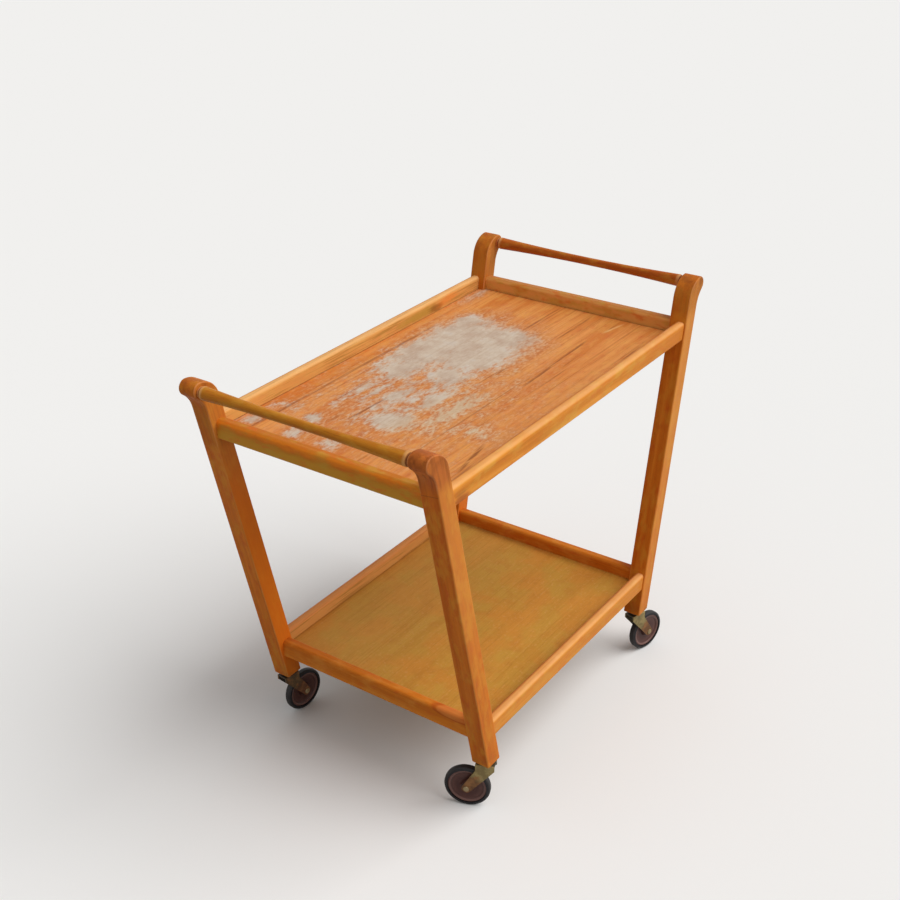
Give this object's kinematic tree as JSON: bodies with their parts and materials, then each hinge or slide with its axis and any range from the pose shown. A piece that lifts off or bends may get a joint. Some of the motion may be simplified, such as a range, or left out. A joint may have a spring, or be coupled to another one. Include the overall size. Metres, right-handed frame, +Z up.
{
  "type": "tea trolley",
  "caption": "Two-tier wooden tea trolley: leaning square legs with goose-neck heads, turned handle bars, railed tray shelves and swivel castors under the feet.",
  "frame": {"origin": "on the floor under the middle of the trolley's box", "axes": "X along the trolley from handle to handle, Y across it, Z up; the front long side is at -Y"},
  "size_m": [0.6822, 0.3856, 0.5925],
  "materials": {
    "frame_wood": "worn satin varnish over orange-brown teak",
    "handle_wood": "worn satin varnish, honey brown",
    "top_panel_wood": "satin varnish, flaked to grey-white in a patch",
    "lower_panel_wood": "satin varnish, olive-tan veneer",
    "socket_steel": "dull, slightly rusted",
    "fork_brass": "dull brassed steel with brown rust",
    "pin_steel": "dull steel",
    "wheel_plastic": "dark brown moulding, dusty",
    "tyre_rubber": "black rubber, dusty"
  },
  "bodies": {
    "frame": {"leg_front_left": "frame_wood", "leg_back_left": "frame_wood", "leg_front_right": "frame_wood", "leg_back_right": "frame_wood", "handle_bar_left": "handle_wood", "handle_bar_right": "handle_wood", "top_rail_front": "frame_wood", "top_rail_back": "frame_wood", "top_rail_left": "frame_wood", "top_rail_right": "frame_wood", "lower_rail_front": "frame_wood", "lower_rail_back": "frame_wood", "lower_rail_left": "frame_wood", "lower_rail_right": "frame_wood", "top_panel": "top_panel_wood", "lower_panel": "lower_panel_wood", "castor_socket_front_left": "socket_steel", "castor_socket_back_left": "socket_steel", "castor_socket_front_right": "socket_steel", "castor_socket_back_right": "socket_steel"},
    "fork_front_left": {"castor_race_front_left": "fork_brass", "castor_stem_front_left": "pin_steel", "castor_fork_front_left": "fork_brass", "castor_axle_front_left": "pin_steel"},
    "wheel_front_left": {"wheel_disc_front_left": "wheel_plastic", "wheel_tyre_front_left": "tyre_rubber"},
    "fork_back_left": {"castor_race_back_left": "fork_brass", "castor_stem_back_left": "pin_steel", "castor_fork_back_left": "fork_brass", "castor_axle_back_left": "pin_steel"},
    "wheel_back_left": {"wheel_disc_back_left": "wheel_plastic", "wheel_tyre_back_left": "tyre_rubber"},
    "fork_front_right": {"castor_race_front_right": "fork_brass", "castor_stem_front_right": "pin_steel", "castor_fork_front_right": "fork_brass", "castor_axle_front_right": "pin_steel"},
    "wheel_front_right": {"wheel_disc_front_right": "wheel_plastic", "wheel_tyre_front_right": "tyre_rubber"},
    "fork_back_right": {"castor_race_back_right": "fork_brass", "castor_stem_back_right": "pin_steel", "castor_fork_back_right": "fork_brass", "castor_axle_back_right": "pin_steel"},
    "wheel_back_right": {"wheel_disc_back_right": "wheel_plastic", "wheel_tyre_back_right": "tyre_rubber"}
  },
  "joints": [
    {"name": "swivel_front_left", "type": "hinge", "parent": "frame", "child": "fork_front_left", "pos_m": [-0.209, -0.174, 0.08], "axis": [0, 0, 1], "continuous": true},
    {"name": "spin_front_left", "type": "hinge", "parent": "fork_front_left", "child": "wheel_front_left", "pos_m": [-0.21814, -0.15019, 0.032], "axis": [-0.9336, -0.3584, 0], "continuous": true},
    {"name": "swivel_back_left", "type": "hinge", "parent": "frame", "child": "fork_back_left", "pos_m": [-0.209, 0.174, 0.08], "axis": [0, 0, 1], "continuous": true},
    {"name": "spin_back_left", "type": "hinge", "parent": "fork_back_left", "child": "wheel_back_left", "pos_m": [-0.18364, 0.17133, 0.032], "axis": [0.1045, 0.9945, 0], "continuous": true},
    {"name": "swivel_front_right", "type": "hinge", "parent": "frame", "child": "fork_front_right", "pos_m": [0.209, -0.174, 0.08], "axis": [0, 0, 1], "continuous": true},
    {"name": "spin_front_right", "type": "hinge", "parent": "fork_front_right", "child": "wheel_front_right", "pos_m": [0.23369, -0.18038, 0.032], "axis": [0.2504, 0.9681, 0], "continuous": true},
    {"name": "swivel_back_right", "type": "hinge", "parent": "frame", "child": "fork_back_right", "pos_m": [0.209, 0.174, 0.08], "axis": [0, 0, 1], "continuous": true},
    {"name": "spin_back_right", "type": "hinge", "parent": "fork_back_right", "child": "wheel_back_right", "pos_m": [0.23369, 0.18038, 0.032], "axis": [-0.2504, 0.9681, 0], "continuous": true}
  ]
}
